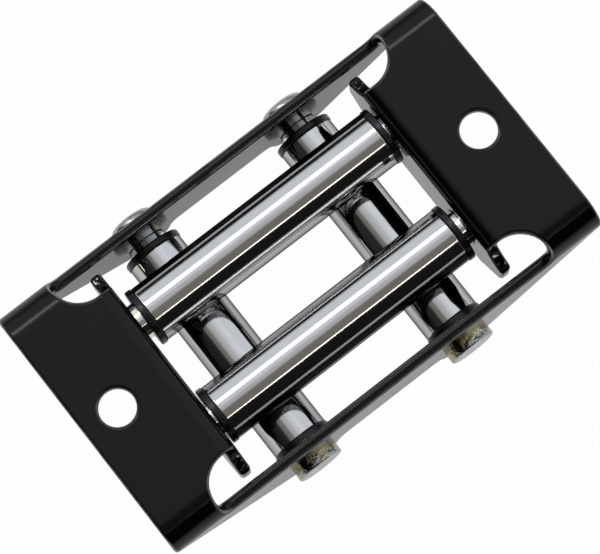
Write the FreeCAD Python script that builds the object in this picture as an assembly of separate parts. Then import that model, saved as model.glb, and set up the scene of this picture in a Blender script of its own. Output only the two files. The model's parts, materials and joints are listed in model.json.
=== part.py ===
"""Four-way roller fairlead for a small vehicle winch, in millimetres.

The face that bolts to the vehicle looks up (+Z) and lies on z = 0. X runs along the row of the two
mounting holes, Y across it, and the origin is midway between the holes. The long rollers lie along X just
under the face, and the short rollers lie along Y below them. In use the fairlead stands on edge, with +Y up.
"""
import FreeCAD, Part
import math
import os

# Bracket plate
bracket_width = 80.4
plate_thickness = 3.5
side_bend_inner_radius = 5.0

# Mounting holes, and the face beyond them
bolt_spacing = 123.8
bolt_hole_diameter = 10.5
bolt_edge_distance = 11.35

# Rollers: steel tubes with end play between the plates that hold them
tube_outer_diameter = 17.1
tube_wall = 1.6
tube_end_rounding = 0.35
long_roller_spacing = 33.4
short_roller_spacing = 53.4
roller_crossing_gap = 0.9
long_roller_end_play = 2.6
short_roller_end_play = 3.2

# Where each roller lies in its end play, as a share of it from the middle
top_roller_slide = 0.2
bottom_roller_slide = -0.27
left_roller_slide = -0.22
right_roller_slide = -0.22

# Plastic bushings at both ends of each tube: the sleeve lines the tube, and the flange stands over its rim
bushing_flange_lip = 0.3
bushing_flange_thickness = 2.0
bushing_sleeve_length = 12.0
bushing_sleeve_wall = 1.33
bushing_rounding = 0.4
bushing_to_tube_clearance = 0.01
bushing_to_pin_clearance = 0.06

# Riveted pins, which fill the bushings' bores
pin_hole_clearance = 0.05
pin_head_lip = 1.55
flat_head_thickness = 3.1
flat_head_rounding = 0.6
round_head_thickness = 4.5
round_head_rounding = 2.2

# Ears, which carry the long rollers
ear_gap = 86.2
ear_bend_inner_radius = 0.8
ear_below_pins = 15.0
ear_to_wall_gap = 2.5
ear_corner_chamfer = 8.3
head_to_bend_gap = 0.1

# Side walls, which carry the short rollers
wall_below_end_bend = 0.6
lobe_overhang = 0.45
lobe_blend_radius = 3.0

# Round reliefs where the bends of a wall and an ear meet, centred on the wall's inner face
relief_radius = 9.2

# Sizes that follow from the ones above
bracket_length = bolt_spacing + 2 * bolt_edge_distance
side_bend_outer_radius = side_bend_inner_radius + plate_thickness
ear_bend_outer_radius = ear_bend_inner_radius + plate_thickness
half_length = bracket_length / 2
half_width = bracket_width / 2
wall_inner_y = half_width - plate_thickness
ear_inner_x = ear_gap / 2
ear_outer_x = ear_inner_x + plate_thickness
ear_bend_x = ear_inner_x + ear_bend_outer_radius
ear_half_width = wall_inner_y - ear_to_wall_gap
tube_radius = tube_outer_diameter / 2
tube_inner_radius = tube_radius - tube_wall
sleeve_radius = tube_inner_radius - bushing_to_tube_clearance
bore_radius = sleeve_radius - bushing_sleeve_wall
pin_radius = bore_radius - bushing_to_pin_clearance
pin_hole_radius = pin_radius + pin_hole_clearance
pin_head_radius = pin_radius + pin_head_lip
flange_radius = tube_radius + bushing_flange_lip
long_tube_length = ear_gap - 2 * bushing_flange_thickness - long_roller_end_play
short_tube_length = 2 * wall_inner_y - 2 * bushing_flange_thickness - short_roller_end_play
long_roller_y = long_roller_spacing / 2
short_roller_x = short_roller_spacing / 2
long_roller_depth = plate_thickness + ear_bend_inner_radius + head_to_bend_gap + pin_head_radius
short_roller_depth = long_roller_depth + tube_outer_diameter + roller_crossing_gap
ear_depth = long_roller_depth + ear_below_pins
wall_end_depth = side_bend_outer_radius + wall_below_end_bend
lobe_radius = flange_radius + lobe_overhang
lobe_bottom = short_roller_depth + lobe_radius
wall_top_depth = side_bend_outer_radius

# How far a cutter reaches past what it cuts, and the distance under which two points are one
cutter_margin = 5.0
same_place = 0.001

AXIS_X = FreeCAD.Vector(1, 0, 0)
AXIS_Y = FreeCAD.Vector(0, 1, 0)
AXIS_Z = FreeCAD.Vector(0, 0, 1)


def point(x, y, z):
    return FreeCAD.Vector(x, y, z)


def centred_box(size_x, size_y, bottom_z, top_z):
    """A box centred on the origin in X and Y."""
    return Part.makeBox(size_x, size_y, top_z - bottom_z, point(-size_x / 2, -size_y / 2, bottom_z))


def cylinder_between(start, end, radius):
    """A solid cylinder from one point to another."""
    run = end - start
    return Part.makeCylinder(radius, run.Length, start, run)


def arc(start, middle, end):
    return Part.Arc(start, middle, end).toShape()


def line(start, end):
    return Part.LineSegment(start, end).toShape()


def on_circle(centre, radius, angle, plane_x, plane_y):
    """The point of a circle at an angle, in the plane of two unit vectors."""
    return centre + plane_x * (radius * math.cos(angle)) + plane_y * (radius * math.sin(angle))


def prism(edges, direction):
    """The solid swept by a closed flat outline."""
    return Part.Face(Part.Wire(edges)).extrude(direction)


def bent_end(centre, outer_radius, inner_radius, side, plane_axis, leg_bottom, sweep_axis, sweep_half):
    """One quarter bend with its straight leg down to leg_bottom, swept to both sides of the middle."""
    start = centre - sweep_axis * sweep_half
    out = plane_axis * side
    outer_top = start + AXIS_Z * outer_radius
    outer_side = start + out * outer_radius
    inner_top = start + AXIS_Z * inner_radius
    inner_side = start + out * inner_radius
    drop = AXIS_Z * (leg_bottom - centre.z)
    half_turn = math.pi / 4
    edges = [
        arc(outer_top, on_circle(start, outer_radius, half_turn, out, AXIS_Z), outer_side),
        line(outer_side, outer_side + drop),
        line(outer_side + drop, inner_side + drop),
        line(inner_side + drop, inner_side),
        arc(inner_side, on_circle(start, inner_radius, half_turn, out, AXIS_Z), inner_top),
        line(inner_top, outer_top),
    ]
    return prism(edges, sweep_axis * (2 * sweep_half))


def channel():
    """The face plate with both side walls bent down, before anything is cut."""
    flat_half = half_width - side_bend_outer_radius
    solid = centred_box(bracket_length, 2 * flat_half, -plate_thickness, 0)
    for side in (-1, 1):
        centre = point(0, side * flat_half, -side_bend_outer_radius)
        wall = bent_end(centre, side_bend_outer_radius, side_bend_inner_radius, side, AXIS_Y,
                        -lobe_bottom - cutter_margin, AXIS_X, half_length)
        solid = solid.fuse(wall)
    return solid


def lobe_slope():
    """Angle of the sloping edge that leaves the wall's end and touches the lobe's circle."""
    run = half_length - short_roller_x
    fall = short_roller_depth - wall_end_depth
    reach = math.hypot(run, fall)
    return math.atan2(fall, run) + math.asin(lobe_radius / reach)


def wall_outline():
    """The side walls' outline in the XZ plane: sloping ends, a round lobe at each pin, a straight middle.

    The middle edge is level with the short pins' axes, and a small arc leads from it into each lobe.
    """
    slope = lobe_slope()
    reach = lobe_radius + lobe_blend_radius
    blend_run = math.sqrt(reach ** 2 - lobe_blend_radius ** 2)
    blend_x = short_roller_x - blend_run
    blend_z = -short_roller_depth - lobe_blend_radius
    join_angle = math.atan2(lobe_blend_radius, blend_run)
    half_turn = (join_angle + math.pi / 2) / 2

    def place(x, z):
        return point(x, -half_width - cutter_margin, z)

    def half(side):
        """The outline's points on one side, from the middle to the end."""
        return [
            place(side * blend_x, -short_roller_depth),
            place(side * (blend_x + lobe_blend_radius * math.cos(half_turn)),
                  blend_z + lobe_blend_radius * math.sin(half_turn)),
            place(side * (blend_x + lobe_blend_radius * math.cos(join_angle)),
                  blend_z + lobe_blend_radius * math.sin(join_angle)),
            place(side * short_roller_x, -lobe_bottom),
            place(side * (short_roller_x + lobe_radius * math.sin(slope)),
                  -short_roller_depth - lobe_radius * math.cos(slope)),
            place(side * half_length, -wall_end_depth),
            place(side * half_length, cutter_margin),
        ]

    right = half(1)
    left = half(-1)
    edges = [line(left[0], right[0]), line(right[6], left[6])]
    for points in (left, right):
        edges.append(arc(points[0], points[1], points[2]))
        edges.append(arc(points[2], points[3], points[4]))
        edges.append(line(points[4], points[5]))
        edges.append(line(points[5], points[6]))
    return Part.__sortEdges__(edges)


def relief_cutters():
    """Round reliefs at the four inner corners, through the face and the whole bend."""
    cutters = []
    for side_x in (-1, 1):
        for side_y in (-1, 1):
            bottom = point(side_x * ear_bend_x, side_y * wall_inner_y, -wall_top_depth)
            top = point(bottom.x, bottom.y, cutter_margin)
            cutters.append(cylinder_between(bottom, top, relief_radius))
    return cutters


def opening_cutter():
    """The big opening in the face, which also takes the bends beside it, so that flat walls are left."""
    return centred_box(2 * ear_bend_x, bracket_width + 2 * cutter_margin, -wall_top_depth, cutter_margin)


def ear(side):
    """One ear: bent down from the face's inner edge, wider than its bend, with cut lower corners."""
    centre = point(side * ear_bend_x, 0, -ear_bend_outer_radius)
    solid = bent_end(centre, ear_bend_outer_radius, ear_bend_inner_radius, -side, AXIS_X,
                     -ear_depth, AXIS_Y, ear_half_width)
    near_x = side * (ear_inner_x - cutter_margin)
    for side_y in (-1, 1):
        relief = point(near_x, side_y * wall_inner_y, 0)
        solid = solid.cut(cylinder_between(relief, point(side * ear_bend_x, relief.y, 0), relief_radius))
        corner = [
            point(near_x, side_y * ear_half_width, -ear_depth),
            point(near_x, side_y * ear_half_width, -ear_depth + ear_corner_chamfer),
            point(near_x, side_y * (ear_half_width - ear_corner_chamfer), -ear_depth),
        ]
        outline = [line(corner[k], corner[(k + 1) % 3]) for k in range(3)]
        solid = solid.cut(prism(outline, AXIS_X * (side * (plate_thickness + 2 * cutter_margin))))
    return solid


def bracket_holes():
    """Cylinders through the two mounting holes and the eight pin holes."""
    cutters = []
    for side in (-1, 1):
        bolt = point(side * bolt_spacing / 2, 0, -plate_thickness - cutter_margin)
        cutters.append(cylinder_between(bolt, bolt + AXIS_Z * (plate_thickness + 2 * cutter_margin),
                                        bolt_hole_diameter / 2))
        reach_x = ear_outer_x + cutter_margin
        cutters.append(cylinder_between(point(-reach_x, side * long_roller_y, -long_roller_depth),
                                        point(reach_x, side * long_roller_y, -long_roller_depth),
                                        pin_hole_radius))
        reach_y = half_width + cutter_margin
        cutters.append(cylinder_between(point(side * short_roller_x, -reach_y, -short_roller_depth),
                                        point(side * short_roller_x, reach_y, -short_roller_depth),
                                        pin_hole_radius))
    return cutters


def bracket():
    solid = channel()
    solid = solid.common(prism(wall_outline(), AXIS_Y * (bracket_width + 2 * cutter_margin)))
    for cutter in [opening_cutter()] + relief_cutters():
        solid = solid.cut(cutter)
    for side in (-1, 1):
        solid = solid.fuse(ear(side))
    for cutter in bracket_holes():
        solid = solid.cut(cutter)
    return solid.removeSplitter()


def tube(start, end):
    """A roller's steel tube between two points of its axis."""
    margin = (end - start).normalize() * cutter_margin
    outer = cylinder_between(start, end, tube_radius)
    inner = cylinder_between(start - margin, end + margin, tube_inner_radius)
    solid = outer.cut(inner)
    rims = [e for e in solid.Edges if is_circle(e) and abs(e.Curve.Radius - tube_radius) < same_place]
    return solid.makeFillet(tube_end_rounding, rims)


def is_circle(edge):
    return isinstance(edge.Curve, Part.Circle)


def bushing(tube_end, outward):
    """A flanged bushing at the end of a tube: the flange lies outside, and the sleeve inside the tube."""
    flange_end = tube_end + outward * bushing_flange_thickness
    sleeve_end = tube_end - outward * bushing_sleeve_length
    flange = cylinder_between(tube_end, flange_end, flange_radius)
    rims = [e for e in flange.Edges if is_circle(e)]
    flange = flange.makeFillet(bushing_rounding, rims)
    sleeve = cylinder_between(sleeve_end, tube_end, sleeve_radius)
    bore = cylinder_between(sleeve_end - outward * cutter_margin, flange_end + outward * cutter_margin,
                            bore_radius)
    return flange.fuse(sleeve).cut(bore).removeSplitter()


def head(base, outward, thickness, rounding):
    """A round pin head on a plate's outer face, with its outer rim rounded."""
    solid = cylinder_between(base, base + outward * thickness, pin_head_radius)
    top = base + outward * thickness
    rims = [e for e in solid.Edges if is_circle(e) and (e.Curve.Center - top).Length < same_place]
    return solid.makeFillet(rounding, rims)


def pin(start, end):
    """A pin between the outer faces of two plates: a flat head at its start, a rounded one at its end."""
    along = (end - start).normalize()
    shank = cylinder_between(start, end, pin_radius)
    flat = head(start, along * -1, flat_head_thickness, flat_head_rounding)
    rounded = head(end, along, round_head_thickness, round_head_rounding)
    return shank.fuse(flat).fuse(rounded).removeSplitter()


def roller(name, axis, middle, half_tube, half_span, end_names):
    """The four kinds of piece on one axis: tube, two bushings and the pin that holds them."""
    low = middle - axis * half_tube
    high = middle + axis * half_tube
    axis_middle = point(0, middle.y, middle.z) if axis == AXIS_X else point(middle.x, 0, middle.z)
    return {
        f"{name}_roller_tube": tube(low, high),
        f"{name}_roller_bushing_{end_names[0]}": bushing(low, axis * -1),
        f"{name}_roller_bushing_{end_names[1]}": bushing(high, axis),
        f"{name}_roller_pin": pin(axis_middle - axis * half_span, axis_middle + axis * half_span),
    }


def fairlead():
    nodes = {"bracket": bracket()}
    for name, side, slide in (("top", 1, top_roller_slide), ("bottom", -1, bottom_roller_slide)):
        middle = point(slide * long_roller_end_play, side * long_roller_y, -long_roller_depth)
        nodes.update(roller(name, AXIS_X, middle, long_tube_length / 2, ear_outer_x, ("left", "right")))
    for name, side, slide in (("left", -1, left_roller_slide), ("right", 1, right_roller_slide)):
        middle = point(side * short_roller_x, slide * short_roller_end_play, -short_roller_depth)
        nodes.update(roller(name, AXIS_Y, middle, short_tube_length / 2, half_width, ("bottom", "top")))
    return nodes


os.makedirs("parts", exist_ok=True)
for node, shape in fairlead().items():
    shape.exportStep(f"parts/{node}.step")
    print(node, len(shape.Solids), round(shape.Volume, 1), shape.isValid())
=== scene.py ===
"""Looks of the roller fairlead: gloss black bracket, chromed rollers, plastic bushings, plated pins.

Sizes are in millimetres in the row's frame, and turn into metres where a mesh or a material takes them.
The bracket is modelled as its flat blank with rounded edges, and then bent the way the press bends it.
"""

import json
import math

import bmesh
import bpy
from mathutils import Matrix, Vector
from mathutils.geometry import delaunay_2d_cdt


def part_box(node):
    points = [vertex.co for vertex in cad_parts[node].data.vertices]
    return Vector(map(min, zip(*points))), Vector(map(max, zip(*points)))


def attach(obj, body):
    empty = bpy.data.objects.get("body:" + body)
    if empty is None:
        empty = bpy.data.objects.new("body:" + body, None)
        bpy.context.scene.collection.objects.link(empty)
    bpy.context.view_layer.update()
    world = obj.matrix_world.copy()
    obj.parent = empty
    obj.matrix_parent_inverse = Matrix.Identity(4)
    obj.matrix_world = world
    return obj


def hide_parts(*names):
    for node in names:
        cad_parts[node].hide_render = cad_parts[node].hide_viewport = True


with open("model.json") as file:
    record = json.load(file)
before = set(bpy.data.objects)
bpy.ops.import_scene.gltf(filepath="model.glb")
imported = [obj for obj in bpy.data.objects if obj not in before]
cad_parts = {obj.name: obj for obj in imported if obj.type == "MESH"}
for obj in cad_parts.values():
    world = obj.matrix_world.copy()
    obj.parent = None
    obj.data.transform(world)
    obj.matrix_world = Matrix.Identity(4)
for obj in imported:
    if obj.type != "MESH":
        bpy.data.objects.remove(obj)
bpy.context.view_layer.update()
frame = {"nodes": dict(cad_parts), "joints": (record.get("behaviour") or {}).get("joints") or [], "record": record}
MM = 0.001


def millimetres(vector):
    """A place or size in metres, turned into millimetres."""
    return [value / MM for value in vector]


# Sizes read from the frame
bracket_low, bracket_high = (millimetres(corner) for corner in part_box("bracket"))
joint_at = {joint["name"]: millimetres(joint["pos_m"]) for joint in frame["joints"]}
bolts = next(m for m in frame["record"]["mounts"] if m["kind"] == "bolt_pattern")["dims"]
half_length = bracket_high[0]
half_width = bracket_high[1]
long_roller_y = joint_at["top_roller_spin"][1]
long_roller_depth = -joint_at["top_roller_spin"][2]
short_roller_x = joint_at["right_roller_spin"][0]
short_roller_depth = -joint_at["right_roller_spin"][2]

# Sizes of the bracket that the frame doesn't name. A depth is measured down from the bolting face
plate = 3.5
side_bend_inner = 5.0
wall_end_straight = 0.6
ear_bend_inner = 0.8
ear_bend_x = 47.4
ear_root_half_width = 27.5
ear_half_width = 34.2
ear_depth = 26.5
ear_chamfer = 8.3
relief_radius = 9.2
relief_blend = 3.5
lobe_blend = 3.0
pin_hole_radius = 5.6
edge_round = 1.0
wall_edge_round = 1.65
corner_round = 1.4

# How finely the bracket's round forms are divided: arcs in degrees, and the others in steps
arc_step = 5
blend_step = 8
corner_step = 10
hole_sides = 56
edge_steps = 6
side_bend_steps = 14
ear_bend_steps = 10

# Closer points of an outline are one point, and a cut snaps to the points that it nearly meets
shortest_edge = 0.01
snap_distance = 0.002

half_plate = plate / 2
lobe_radius = -bracket_low[2] - short_roller_depth
side_bend_depth = side_bend_inner + plate
wall_end_depth = side_bend_depth + wall_end_straight
side_bend_neutral = side_bend_inner + half_plate
side_bend_start = half_width - side_bend_depth
side_bend_run = side_bend_neutral * math.pi / 2
side_bend_end = side_bend_start + side_bend_run
ear_bend_depth = ear_bend_inner + plate
ear_bend_neutral = ear_bend_inner + half_plate
ear_bend_run = ear_bend_neutral * math.pi / 2


def wall_v(depth):
    """Where a point of the wall at this depth lies in the flat blank, across its middle line."""
    return side_bend_end + depth - side_bend_depth


def ear_u(depth):
    """Where a point of the ear at this depth lies in the flat blank, along its middle line."""
    return ear_bend_x - ear_bend_run - (depth - ear_bend_depth)


def arc(centre, radius, start, end, step=arc_step):
    """Points of an arc from one angle to another, in degrees."""
    count = max(2, math.ceil(abs(end - start) / step))
    angles = [math.radians(start + (end - start) * k / count) for k in range(count + 1)]
    return [(centre[0] + radius * math.cos(a), centre[1] + radius * math.sin(a)) for a in angles]


def rounded_corner(before, corner, after, radius):
    """The points that round a corner between two straight edges."""
    here = Vector(corner)
    back = (Vector(before) - here).normalized()
    ahead = (Vector(after) - here).normalized()
    half_angle = back.angle(ahead) / 2
    centre = here + (back + ahead).normalized() * (radius / math.sin(half_angle))
    reach = radius / math.tan(half_angle)
    start = here + back * reach - centre
    turn = math.pi - 2 * half_angle
    if back.x * ahead.y - back.y * ahead.x > 0:
        turn = -turn
    count = max(3, math.ceil(math.degrees(abs(turn)) / corner_step))
    return [tuple(centre + Matrix.Rotation(turn * k / count, 2) @ start) for k in range(count + 1)]


def outer_quarter():
    """The blank's outer edge from the middle of a land's end to the middle of a wall's free edge."""
    centre = (short_roller_x, wall_v(short_roller_depth))
    end_corner = (half_length, wall_v(wall_end_depth))
    away = math.degrees(math.atan2(end_corner[1] - centre[1], end_corner[0] - centre[0]))
    leave = away + math.degrees(math.acos(lobe_radius / math.dist(end_corner, centre)))
    blend_run = math.sqrt((lobe_radius + lobe_blend) ** 2 - lobe_blend ** 2)
    join = 180 - math.degrees(math.atan2(lobe_blend, blend_run))
    blend_centre = (centre[0] - blend_run, centre[1] + lobe_blend)
    lobe = arc(centre, lobe_radius, leave, join)
    points = rounded_corner((half_length, 0), end_corner, lobe[0], corner_round)
    points += lobe
    points += arc(blend_centre, lobe_blend, join - 180, -90, blend_step)[1:]
    return points


def inner_quarter():
    """The window's edge from the middle of an ear's free edge, round the relief, to a wall's top edge."""
    top = wall_v(side_bend_depth)
    radius = relief_radius
    centre = (ear_bend_x, ear_root_half_width + radius)
    drop = centre[1] - ear_half_width
    tip = (centre[0] - math.sqrt(radius ** 2 - drop ** 2), ear_half_width)
    tip_angle = math.degrees(math.atan2(-drop, tip[0] - centre[0]))
    beyond = (tip[0] + drop, tip[1] + tip[0] - centre[0])
    free_u = ear_u(ear_depth)
    low_corner = (free_u, ear_half_width - ear_chamfer)
    side_corner = (free_u + ear_chamfer, ear_half_width)
    points = rounded_corner((free_u, 0), low_corner, side_corner, corner_round)
    points += rounded_corner(low_corner, side_corner, tip, corner_round)
    points += rounded_corner(side_corner, tip, beyond, corner_round)
    start = tip_angle + math.degrees(math.dist(points[-1], tip) / radius)
    inner_radius = radius - relief_blend
    end = math.degrees(math.asin((top - relief_blend - centre[1]) / inner_radius))
    blend_centre = (centre[0] + inner_radius * math.cos(math.radians(end)), top - relief_blend)
    points += arc(centre, radius, start, end)[1:]
    points += arc(blend_centre, relief_blend, end, 90, blend_step)[1:]
    return points


def whole_loop(quarter):
    """A closed outline from its first quarter, mirrored in both middle lines."""
    back = quarter[::-1]
    return (quarter + [(-u, v) for u, v in back] + [(-u, -v) for u, v in quarter]
            + [(u, -v) for u, v in back])


def circle_loop(u, v, radius):
    """A round hole, drawn clockwise."""
    step = 360 / hole_sides
    return arc((u, v), radius, 360, step, step)


# The window's place in the list of outlines
WINDOW = 1


def blank_loops():
    """The flat blank's outlines: its outer edge anticlockwise, then the window and every hole clockwise."""
    loops = [whole_loop(outer_quarter()), whole_loop(inner_quarter())[::-1]]
    for side in (-1, 1):
        loops.append(circle_loop(side * bolts["spacing_x_mm"] / 2, 0, bolts["hole_r_mm"]))
        for other in (-1, 1):
            in_ear = (side * ear_u(long_roller_depth), other * long_roller_y)
            in_wall = (side * short_roller_x, other * wall_v(short_roller_depth))
            loops.append(circle_loop(*in_ear, pin_hole_radius))
            loops.append(circle_loop(*in_wall, pin_hole_radius))
    return loops


def outward_normals(loop):
    """The direction out of the material at each point, on the right of the way that the outline runs."""
    normals = []
    for k, here in enumerate(loop):
        before = (Vector(here) - Vector(loop[k - 1])).normalized()
        after = (Vector(loop[(k + 1) % len(loop)]) - Vector(here)).normalized()
        along = (before + after).normalized()
        normals.append(Vector((along.y, -along.x)))
    return normals


def edge_profile():
    """The turns of the plate's rounded edge, from its top face to its bottom face: (side, angle)."""
    angles = [math.pi / 2 * (k / edge_steps) for k in range(edge_steps + 1)]
    return [(1, angle) for angle in angles[::-1]] + [(-1, angle) for angle in angles]


def window_edge_radius(v):
    """How far the window's edge is rounded here: more on the walls than on the lands."""
    share = min(1, max(0, (abs(v) - side_bend_start) / side_bend_run))
    return edge_round + (wall_edge_round - edge_round) * share


def rounded_rim(bm, loop, radii, normal_layer, edge_layer):
    """The rounded edge along one outline, as rings of vertices from the top face to the bottom face.

    The layers keep each vertex's exact normal, and how near it is to the middle of the rounding.
    """
    normals = outward_normals(loop)
    rings = []
    for side, angle in edge_profile():
        outward, upward = math.cos(angle), side * math.sin(angle)
        ring = []
        for (u, v), normal, radius in zip(loop, normals, radii):
            inset = radius * (1 - outward)
            height = side * (half_plate - radius) + radius * upward
            vert = bm.verts.new((u - normal.x * inset, v - normal.y * inset, height))
            vert[normal_layer] = (normal.x * outward, normal.y * outward, upward)
            vert[edge_layer] = abs(2 * outward * upward)
            ring.append(vert)
        rings.append(ring)
    for upper, lower in zip(rings, rings[1:]):
        for k in range(len(loop)):
            j = (k + 1) % len(loop)
            bm.faces.new((upper[j], upper[k], lower[k], lower[j]))
    return rings


def inside(point, loop):
    """Whether a point lies inside a closed outline."""
    found = False
    for k, (u, v) in enumerate(loop):
        before_u, before_v = loop[k - 1]
        if (v > point.y) != (before_v > point.y):
            if point.x < (before_u - u) * (point.y - v) / (before_v - v) + u:
                found = not found
    return found


def flat_face(bm, rings, upwards):
    """One flat face of the plate, between its outer ring of vertices and the rings round the holes."""
    verts, edges = [], []
    for ring in rings:
        first = len(verts)
        verts.extend(ring)
        edges.extend((first + k, first + (k + 1) % len(ring)) for k in range(len(ring)))
    flat = [Vector((vert.co.x, vert.co.y)) for vert in verts]
    outer, *holes = ([(vert.co.x, vert.co.y) for vert in ring] for ring in rings)
    _, _, faces, origin, _, _ = delaunay_2d_cdt(flat, edges, [], 0, 1e-6)
    for face in faces:
        corners = [origin[k][0] for k in face]
        middle = sum((flat[k] for k in corners), Vector((0, 0))) / 3
        if inside(middle, outer) and not any(inside(middle, hole) for hole in holes):
            order = corners if upwards else corners[::-1]
            bm.faces.new([verts[k] for k in order])


def flat_blank(bm, normal_layer, edge_layer):
    """The flat plate with rounded edges."""
    rims = []
    for number, loop in enumerate(blank_loops()):
        loop = [p for k, p in enumerate(loop) if math.dist(p, loop[k - 1]) > shortest_edge]
        radii = [window_edge_radius(v) if number == WINDOW else edge_round for u, v in loop]
        rims.append(rounded_rim(bm, loop, radii, normal_layer, edge_layer))
    flat_face(bm, [rings[0] for rings in rims], upwards=True)
    flat_face(bm, [rings[-1] for rings in rims], upwards=False)


def bent(co, normal):
    """Where a point of the flat blank and its normal are after the bends.

    An ear turns down about a line along Y, and a wall about a line along X.
    """
    u, v, h = co
    if abs(u) < ear_bend_x and abs(v) < ear_half_width + corner_round:
        side = math.copysign(1, u)
        run = ear_bend_x - abs(u)
        angle = min(run / ear_bend_neutral, math.pi / 2)
        drop = max(0, run - ear_bend_run)
        radius = ear_bend_neutral + h
        place = Vector((side * (ear_bend_x - radius * math.sin(angle)), v,
                        -ear_bend_depth + radius * math.cos(angle) - drop))
        return place, Matrix.Rotation(-side * angle, 3, "Y") @ normal
    run = abs(v) - side_bend_start
    if run <= 0:
        return Vector((u, v, h - half_plate)), normal
    side = math.copysign(1, v)
    angle = min(run / side_bend_neutral, math.pi / 2)
    drop = max(0, run - side_bend_run)
    radius = side_bend_neutral + h
    place = Vector((u, side * (side_bend_start + radius * math.sin(angle)),
                    -side_bend_depth + radius * math.cos(angle) - drop))
    return place, Matrix.Rotation(-side * angle, 3, "X") @ normal


def cut_across(bm, positions, direction):
    """New edges across the whole blank where a bend needs them."""
    for position in positions:
        parts = bm.verts[:] + bm.edges[:] + bm.faces[:]
        bmesh.ops.bisect_plane(bm, geom=parts, plane_co=direction * position, plane_no=direction,
                               dist=snap_distance)


def bracket():
    """The bent bracket, which stands for the CAD one."""
    bm = bmesh.new()
    normal_layer = bm.verts.layers.float_vector.new("exact_normal")
    edge_layer = bm.verts.layers.float.new("edge")
    flat_blank(bm, normal_layer, edge_layer)
    side_cuts = [side_bend_start + side_bend_run * k / side_bend_steps for k in range(side_bend_steps + 1)]
    ear_cuts = [ear_bend_x - ear_bend_run * k / ear_bend_steps for k in range(ear_bend_steps + 1)]
    for side in (-1, 1):
        cut_across(bm, [side * v for v in side_cuts], Vector((0, 1, 0)))
        cut_across(bm, [side * u for u in ear_cuts], Vector((1, 0, 0)))
    normals = []
    for vert in bm.verts:
        place, normal = bent(vert.co, Vector(vert[normal_layer]).normalized())
        vert.co = place * MM
        normals.append(normal)
    for face in bm.faces:
        face.smooth = True
    mesh = bpy.data.meshes.new("bracket_plate")
    bm.to_mesh(mesh)
    bm.free()
    mesh.attributes.remove(mesh.attributes["exact_normal"])
    mesh.normals_split_custom_set_from_vertices(normals)
    piece = bpy.data.objects.new("bracket_plate", mesh)
    bpy.context.scene.collection.objects.link(piece)
    return piece


class Nodes:
    """Short ways to add shader nodes to one material or world."""

    def __init__(self, tree):
        self.tree = tree
        tree.nodes.clear()

    def add(self, kind, **values):
        """A node of this kind. Names of settings and of sockets both take values or links."""
        node = self.tree.nodes.new(kind)
        for name, value in values.items():
            if hasattr(node, name):
                setattr(node, name, value)
            else:
                self.feed(node.inputs[name.replace("_", " ")], value)
        return node

    def feed(self, socket, value):
        """A socket's value, or a link to it."""
        if isinstance(value, bpy.types.NodeSocket):
            self.tree.links.new(value, socket)
        else:
            socket.default_value = value

    def maths(self, operation, first, second=0.0):
        """The result of one operation on one or two values."""
        node = self.tree.nodes.new("ShaderNodeMath")
        node.operation = operation
        self.feed(node.inputs[0], first)
        self.feed(node.inputs[1], second)
        return node.outputs[0]

    def product(self, first, *others):
        """Values multiplied together."""
        for other in others:
            first = self.maths("MULTIPLY", first, other)
        return first

    def total(self, *parts):
        """The sum of values, each with its weight."""
        first, *others = (self.maths("MULTIPLY", value, weight) for value, weight in parts)
        for other in others:
            first = self.maths("ADD", first, other)
        return first

    def split(self, vector):
        """The three axes of a vector."""
        node = self.tree.nodes.new("ShaderNodeSeparateXYZ")
        self.feed(node.inputs[0], vector)
        return node.outputs

    def finish(self, kind, shader):
        """Joins the last shader to the output."""
        output = self.tree.nodes.new(kind)
        self.feed(output.inputs["Surface"], shader.outputs[0])

    def noise(self, vector, per_metre, detail=2.0, roughness=0.5):
        """Cloudy noise, from 0 to 1 and mostly near the middle."""
        node = self.tree.nodes.new("ShaderNodeTexNoise")
        self.feed(node.inputs["Vector"], vector)
        self.feed(node.inputs["Scale"], per_metre)
        self.feed(node.inputs["Detail"], detail)
        self.feed(node.inputs["Roughness"], roughness)
        return node.outputs["Fac"]

    def ramp(self, value, *stops):
        """A value turned into a colour or grey by stops of (position, colour)."""
        node = self.tree.nodes.new("ShaderNodeValToRGB")
        self.feed(node.inputs[0], value)
        elements = node.color_ramp.elements
        while len(elements) < len(stops):
            elements.new(0.5)
        for element, (position, colour) in zip(elements, stops):
            element.position = position
            element.color = colour if len(colour) == 4 else (*colour, 1)
        return node.outputs[0]

    def smooth(self, value, low, high, to_low=0.0, to_high=1.0):
        """A smooth step between two values."""
        node = self.tree.nodes.new("ShaderNodeMapRange")
        node.interpolation_type = "SMOOTHSTEP"
        self.feed(node.inputs["Value"], value)
        self.feed(node.inputs["From Min"], low)
        self.feed(node.inputs["From Max"], high)
        self.feed(node.inputs["To Min"], to_low)
        self.feed(node.inputs["To Max"], to_high)
        return node.outputs[0]

    def stretched(self, factors):
        """Object coordinates, in metres, stretched along the axes."""
        place = self.tree.nodes.new("ShaderNodeTexCoord").outputs["Object"]
        node = self.tree.nodes.new("ShaderNodeMapping")
        self.feed(node.inputs["Vector"], place)
        node.inputs["Scale"].default_value = factors
        return node.outputs[0]


def grey(value):
    """A grey as a colour."""
    return (value, value, value)


def new_material(name):
    """An empty material, and the nodes to fill it."""
    material = bpy.data.materials.new(name)
    material.use_nodes = True
    return material, Nodes(material.node_tree)


def finish_surface(nodes, bump_height, bump_depth, bump_strength=1.0, **inputs):
    """The surface shader with its bump, joined to the output. The bump's depth is in millimetres."""
    shader = nodes.tree.nodes.new("ShaderNodeBsdfPrincipled")
    for name, value in inputs.items():
        nodes.feed(shader.inputs[name.replace("_", " ")], value)
    bump = nodes.tree.nodes.new("ShaderNodeBump")
    bump.inputs["Distance"].default_value = bump_depth * MM
    nodes.feed(bump.inputs["Strength"], bump_strength)
    nodes.feed(bump.inputs["Height"], bump_height)
    nodes.feed(shader.inputs["Normal"], bump.outputs[0])
    nodes.finish("ShaderNodeOutputMaterial", shader)


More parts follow.
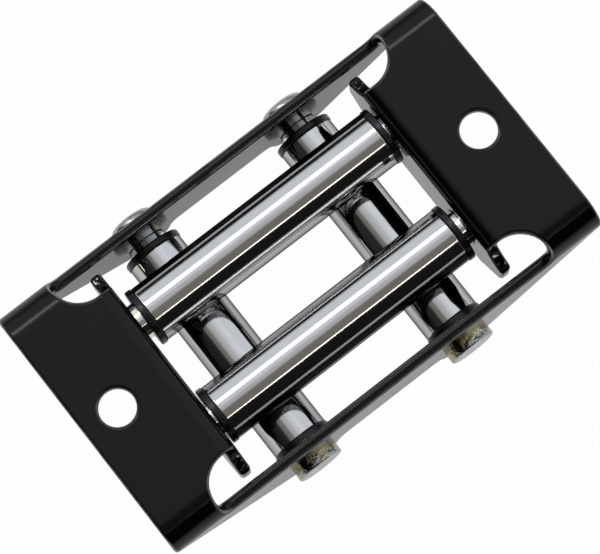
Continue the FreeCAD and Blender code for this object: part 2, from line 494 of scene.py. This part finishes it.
# The greys of the bracket's coat, of its dust, and of the steel where the coat is thin or marked
coat_grey = 0.002
dust_grey = 0.015
edge_steel_grey = 0.20
mark_steel_grey = 0.85

# The marks on the ears' tips. Each pair is where they end and where they are full
mark_inset = 3.0
mark_half_thickness = (1.5, 0.9)
mark_half_length = (2.6, 1.6)
mark_depth = (11.0, 9.5)


def black_coat():
    """Gloss black powder coat with orange peel and dust, thin on the edges and marked on the ears."""
    material, nodes = new_material("black_coat")
    place = nodes.stretched((1, 1, 1))
    peel = nodes.noise(place, per_metre=900)
    swell = nodes.noise(place, per_metre=120)
    height = nodes.total((peel, 0.5), (swell, 1.0))
    dust = nodes.noise(place, per_metre=2600, detail=1)
    edge = nodes.add("ShaderNodeAttribute", attribute_name="edge").outputs["Fac"]
    patches = nodes.smooth(nodes.noise(place, per_metre=160), 0.3, 0.6, 0.35, 1.0)
    thin = nodes.product(nodes.smooth(edge, 0.70, 0.98), patches)
    marks = hanging_marks(nodes, place)
    bare = nodes.maths("MAXIMUM", thin, marks)
    dusty = nodes.smooth(dust, 0.70, 0.78, coat_grey, dust_grey)
    steel = nodes.smooth(marks, 0.0, 1.0, edge_steel_grey, mark_steel_grey)
    colour = nodes.smooth(bare, 0.0, 1.0, dusty, steel)
    roughness = nodes.smooth(nodes.noise(place, per_metre=60, detail=4), 0.3, 0.7, 0.12, 0.17)
    finish_surface(nodes, height, bump_depth=0.02, Base_Color=colour, Metallic=bare,
                   Roughness=roughness, IOR=1.34)
    return material


def hanging_marks(nodes, place):
    """Small bright specks on the tips of the ears, where the bracket hung while it was coated."""
    x, y, z = nodes.split(place)
    middle_x = ear_bend_x - ear_bend_inner - half_plate
    middle_y = ear_half_width - mark_inset
    specks = nodes.smooth(nodes.noise(place, per_metre=900, detail=1), 0.60, 0.66)
    for axis, middle, (end, full) in ((x, middle_x, mark_half_thickness), (y, middle_y, mark_half_length)):
        away = nodes.maths("SUBTRACT", nodes.maths("ABSOLUTE", axis), middle * MM)
        specks = nodes.product(specks, nodes.smooth(nodes.maths("ABSOLUTE", away), end * MM, full * MM))
    low, high = mark_depth
    return nodes.product(specks, nodes.smooth(z, -low * MM, -high * MM))


def roller_chrome(axis):
    """Bright chrome on drawn tube: faint lengthwise lines, fine pits and a slight ripple."""
    material, nodes = new_material(f"roller_chrome_{'xyz'[axis]}")
    factors = [1.0, 1.0, 1.0]
    factors[axis] = 0.04
    lines = nodes.noise(nodes.stretched(factors), per_metre=2600, detail=3)
    place = nodes.stretched((1, 1, 1))
    pits = nodes.noise(place, per_metre=3000)
    ripple = nodes.noise(place, per_metre=800)
    swell = nodes.noise(place, per_metre=160)
    height = nodes.total((lines, 0.3), (pits, 0.2), (ripple, 1.5), (swell, 1.0))
    tint = nodes.ramp(swell, (0.3, (0.62, 0.62, 0.62)), (0.7, (0.66, 0.66, 0.67)))
    roughness = nodes.smooth(pits, 0.35, 0.75, 0.06, 0.11)
    finish_surface(nodes, height, bump_depth=0.002, Base_Color=tint, Metallic=1.0, Roughness=roughness,
                   Specular_Tint=(0.15, 0.15, 0.16, 1))
    return material


def black_plastic():
    """Satin black moulded plastic with a fine grain."""
    material, nodes = new_material("black_plastic")
    place = nodes.stretched((1, 1, 1))
    grain = nodes.noise(place, per_metre=3500, detail=3)
    cloud = nodes.noise(place, per_metre=300, detail=3)
    colour = nodes.ramp(cloud, (0.3, (0.005, 0.005, 0.006)), (0.7, (0.010, 0.010, 0.011)))
    roughness = nodes.smooth(cloud, 0.3, 0.7, 0.20, 0.32)
    finish_surface(nodes, grain, bump_depth=0.02, Base_Color=colour, Roughness=roughness, IOR=1.42)
    return material


# How the zinc changes from a pin's shank to its heads, and how far a formed head is yellow from the wall. The
# shank's colour is scaled up as a painted highlight, and the heads' colour is scaled down as painted shade
head_fade = 0.5
yellow_full_to = 0.8
yellow_to = 1.6
shank_painted_highlight = 1.5
head_painted_shade = 0.75
formed_dent_height = 6.0


def zinc_plate(axis, shank_end):
    """Bright zinc plate with a faint yellow and blue tint: smooth with a painted highlight on the shank, and rough
    with painted shade on the heads.

    The head at the negative end of the axis is the formed one, which is hammered and yellow near the wall.
    """
    material, nodes = new_material(f"zinc_plate_{'xyz'[axis]}")
    place = nodes.stretched((1, 1, 1))
    along = nodes.split(place)[axis]
    out = nodes.maths("ABSOLUTE", along)
    head_start = shank_end - head_fade
    on_head = nodes.smooth(out, head_start * MM, shank_end * MM)
    formed = nodes.smooth(along, -shank_end * MM, -head_start * MM, 1.0, 0.0)
    at_wall = nodes.smooth(out, (shank_end + yellow_to) * MM, (shank_end + yellow_full_to) * MM)
    cloud = nodes.noise(place, per_metre=260, detail=4, roughness=0.6)
    grain = nodes.noise(place, per_metre=2400, detail=3)
    hammered = nodes.noise(place, per_metre=440, roughness=0.6)
    yellowed = nodes.product(formed, at_wall, 0.25)
    blue, plain, yellow = (0.48, 0.52, 0.58), (0.57, 0.59, 0.58), (0.66, 0.58, 0.34)
    tint = nodes.ramp(nodes.maths("ADD", cloud, yellowed), (0.30, blue), (0.5, plain), (0.7, yellow))
    # Painted light: the colour is brightened on the shank and darkened on the heads, in place of the light and
    # shade that they catch
    bright = nodes.smooth(on_head, 0.0, 1.0, shank_painted_highlight, head_painted_shade)
    colour = nodes.add("ShaderNodeVectorMath", operation="SCALE", Scale=bright)
    nodes.feed(colour.inputs[0], tint)
    dulled = nodes.smooth(cloud, 0.3, 0.7, 0.02, 0.20)
    roughness = nodes.maths("ADD", nodes.product(on_head, dulled), 0.08)
    dent_height = nodes.smooth(formed, 0.0, 1.0, on_head, formed_dent_height)
    height = nodes.total((grain, 0.05), (cloud, 1.0), (hammered, dent_height))
    strength = nodes.smooth(on_head, 0.0, 1.0, 0.3, 1.0)
    finish_surface(nodes, height, bump_depth=0.06, bump_strength=strength,
                   Base_Color=colour.outputs[0], Metallic=1.0, Roughness=roughness)
    return material


def dress_cad_nodes():
    """Gives each CAD node that shows its finish."""
    chrome = {"x": roller_chrome(0), "y": roller_chrome(1)}
    plastic = black_plastic()
    zinc = {"x": zinc_plate(0, ear_bend_x - ear_bend_inner), "y": zinc_plate(1, half_width)}
    for name, piece in frame["nodes"].items():
        along = "x" if name.startswith(("top", "bottom")) else "y"
        if name.endswith("_tube"):
            finish, slot = chrome[along], "roller_chrome"
        elif "bushing" in name:
            finish, slot = plastic, "black_plastic"
        elif name.endswith("_pin"):
            finish, slot = zinc[along], "zinc_plate"
        else:
            continue
        piece.data.materials.clear()
        piece.data.materials.append(finish)


# The floor's side, and the distances to which its painted pool of light is white and from which the floor is
# painted grey, in metres
floor_side = 8
floor_white_to = 0.126
floor_grey_from = 0.40

# The floor's painted grey far from the object, the shade of its lit surface, and how much of it glows to the
# camera and in the metal
floor_far_painted_grey = 0.50
floor_paper = 0.8
floor_seen = 0.98
floor_mirrored = 0.6


def floor():
    """A white floor with a painted pool of light round the object and painted grey far away, which glows to the
    camera and to the metal and takes a faint shadow.
    """
    bpy.ops.mesh.primitive_plane_add(size=floor_side, location=(0, 0, bracket_low[2] * MM))
    piece = bpy.context.object
    piece.name = "floor"
    material, nodes = new_material("floor_white")
    path = nodes.tree.nodes.new("ShaderNodeLightPath").outputs
    mirrored = nodes.maths("MAXIMUM", path["Is Glossy Ray"], path["Is Transmission Ray"])
    seen = nodes.maths("MAXIMUM", nodes.product(path["Is Camera Ray"], floor_seen),
                       nodes.product(mirrored, floor_mirrored))
    place = nodes.tree.nodes.new("ShaderNodeTexCoord").outputs["Object"]
    reach = nodes.add("ShaderNodeVectorMath", operation="LENGTH")
    nodes.feed(reach.inputs[0], place)
    # Painted light: the floor's glow and its surface's shade are white near the object and fade to a painted grey
    # far away
    painted_pool = nodes.smooth(reach.outputs["Value"], floor_white_to, floor_grey_from, 1.0, floor_far_painted_grey)
    shade = nodes.ramp(painted_pool, (0.0, grey(0.0)), (1.0, grey(floor_paper)))
    plain = nodes.add("ShaderNodeBsdfDiffuse", Color=shade)
    glow = nodes.add("ShaderNodeEmission", Strength=painted_pool)
    mix = nodes.tree.nodes.new("ShaderNodeMixShader")
    nodes.feed(mix.inputs[0], seen)
    nodes.feed(mix.inputs[1], plain.outputs[0])
    nodes.feed(mix.inputs[2], glow.outputs[0])
    nodes.finish("ShaderNodeOutputMaterial", mix)
    piece.data.materials.append(material)


# The studio's light by direction: how far it leans to the pale side, from -1 to 1, and its strength there
STUDIO = (
    (-1.00, (0.004, 0.004, 0.004)),
    (-0.475, (0.008, 0.008, 0.008)),
    (-0.435, (0.21, 0.195, 0.175)),
    (-0.11, (0.22, 0.206, 0.190)),
    (-0.04, (0.50, 0.50, 0.50)),
    (0.12, (0.66, 0.67, 0.70)),
    (0.36, (0.90, 0.93, 0.98)),
    (0.50, (0.80, 0.83, 0.88)),
    (0.75, (0.80, 0.83, 0.87)),
    (1.00, (0.38, 0.39, 0.41)),
)
pale_side = (0.61, 0.79)

# The light sets in between these heights above the horizon, and a little comes from everywhere
dark_below = 0.0
pale_above = 0.10
dark_level = 0.004

# The narrow lamps by direction. Each is a line in two of the axes: its place across and its slope, its
# reach along, the side of the sky that it stands on, and its light
WHITE_STRIP = {
    "across": "y", "centre": 0.528, "slope": -0.6, "half_width": 0.048, "softness": 0.17,
    "along": "x", "reach": (-0.28, 0.25), "fade": 0.08,
    "side": ("z", 1), "colour": (1.0, 0.99, 0.97, 1), "strength": 6.2,
}
GOLDEN_LINE = {
    "across": "y", "centre": -0.630, "slope": 0.0, "half_width": 0.022, "softness": 0.02,
    "along": "x", "reach": (0.035, 0.138), "fade": 0.014,
    "side": ("z", 1), "colour": (1.0, 0.93, 0.78, 1), "strength": 3.2,
}
GOLDEN_HORIZON = {
    "across": "z", "centre": 0.180, "slope": 0.0, "half_width": 0.022, "softness": 0.03,
    "along": "y", "reach": (-0.05, 0.35), "fade": 0.10,
    "side": ("x", -1), "colour": (1.0, 0.90, 0.66, 1), "strength": 2.6,
}
LAMPS = (WHITE_STRIP, GOLDEN_LINE, GOLDEN_HORIZON)
side_fade = 0.1

# A dark card low on the pale side, which the long rollers mirror along their upper edges
card_middle = 0.085
card_reach = 0.065
card_fade = 0.02
card_top = 0.40
card_full = 0.20
card_ahead_from = 0.5
card_ahead_full = 0.6

# The studio is dim towards its left end, which the short rollers mirror
flank_from = -0.48
flank_full = -0.66
flank_level = 0.12


def between(nodes, value, low, high, fade):
    """One between two values, and zero beyond them, with soft ends."""
    return nodes.product(nodes.smooth(value, low - fade, low + fade),
                         nodes.smooth(value, high + fade, high - fade))


def lamp_light(nodes, axes, lamp):
    """The light of one narrow lamp."""
    across, along = axes[lamp["across"]], axes[lamp["along"]]
    line = nodes.maths("ADD", nodes.product(along, lamp["slope"]), lamp["centre"])
    half, soft = lamp["half_width"], lamp["softness"] / 2
    away = nodes.maths("ABSOLUTE", nodes.maths("SUBTRACT", across, line))
    near = nodes.smooth(away, half + soft, half - soft)
    side_axis, side = lamp["side"]
    there = nodes.smooth(nodes.product(axes[side_axis], side), 0.0, side_fade)
    reach = between(nodes, along, *lamp["reach"], lamp["fade"])
    strength = nodes.product(near, reach, there, lamp["strength"])
    return nodes.add("ShaderNodeBackground", Color=lamp["colour"], Strength=strength)


def card_shade(nodes, axes):
    """What the dark card leaves of the pale side's light, from 0 to 1."""
    low = nodes.smooth(axes["z"], card_top, card_full)
    ahead = nodes.smooth(axes["y"], card_ahead_from, card_ahead_full)
    reach = between(nodes, axes["x"], card_middle - card_reach, card_middle + card_reach, card_fade)
    return nodes.maths("SUBTRACT", 1.0, nodes.product(low, ahead, reach))


def world_light():
    """The studio as the metal sees it: pale to one side and dark to the other, with narrow lamps in it."""
    world = bpy.data.worlds.new("studio")
    bpy.context.scene.world = world
    world.use_nodes = True
    nodes = Nodes(world.node_tree)
    direction = nodes.tree.nodes.new("ShaderNodeTexCoord").outputs["Generated"]
    axes = dict(zip("xyz", nodes.split(direction)))
    lean = nodes.total((axes["x"], pale_side[0]), (axes["y"], pale_side[1]))
    position = nodes.product(nodes.maths("ADD", lean, 1.0), 0.5)
    stops = [((at + 1) / 2, colour) for at, colour in STUDIO]
    risen = nodes.smooth(axes["z"], dark_below, pale_above)
    flank = nodes.smooth(axes["x"], flank_from, flank_full, 1.0, flank_level)
    above = nodes.product(risen, card_shade(nodes, axes), flank)
    lights = [nodes.add("ShaderNodeBackground", Color=nodes.ramp(position, *stops), Strength=above),
              nodes.add("ShaderNodeBackground", Color=(1, 1, 1, 1), Strength=dark_level)]
    lights += [lamp_light(nodes, axes, lamp) for lamp in LAMPS]
    all_lights = lights[0]
    for light in lights[1:]:
        both = nodes.tree.nodes.new("ShaderNodeAddShader")
        nodes.feed(both.inputs[0], all_lights.outputs[0])
        nodes.feed(both.inputs[1], light.outputs[0])
        all_lights = both
    nodes.finish("ShaderNodeOutputWorld", all_lights)


def camera():
    """The photograph's view, 600 by 554 pixels: nearly straight down on the bolting face."""
    place = Vector((-78.5, -143.0, 903.0))
    target = Vector((-0.1, 0.1, -15.0))
    picture_up = math.radians(52.2)
    forward = (target - place).normalized()
    right = forward.cross(Vector((math.cos(picture_up), math.sin(picture_up), 0))).normalized()
    up = right.cross(forward)
    data = bpy.data.cameras.new("camera")
    data.sensor_width = 36
    data.lens = 203.7
    data.clip_start = 0.01
    piece = bpy.data.objects.new("camera", data)
    turn = Matrix((right, up, -forward)).transposed().to_4x4()
    piece.matrix_world = Matrix.Translation(place * MM) @ turn
    bpy.context.scene.collection.objects.link(piece)
    bpy.context.scene.camera = piece


coat = black_coat()
plate_piece = bracket()
plate_piece.data.materials.append(coat)
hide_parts("bracket")
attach(plate_piece, "bracket")
dress_cad_nodes()
floor()
world_light()
camera()
bpy.context.scene.view_settings.view_transform = "Standard"
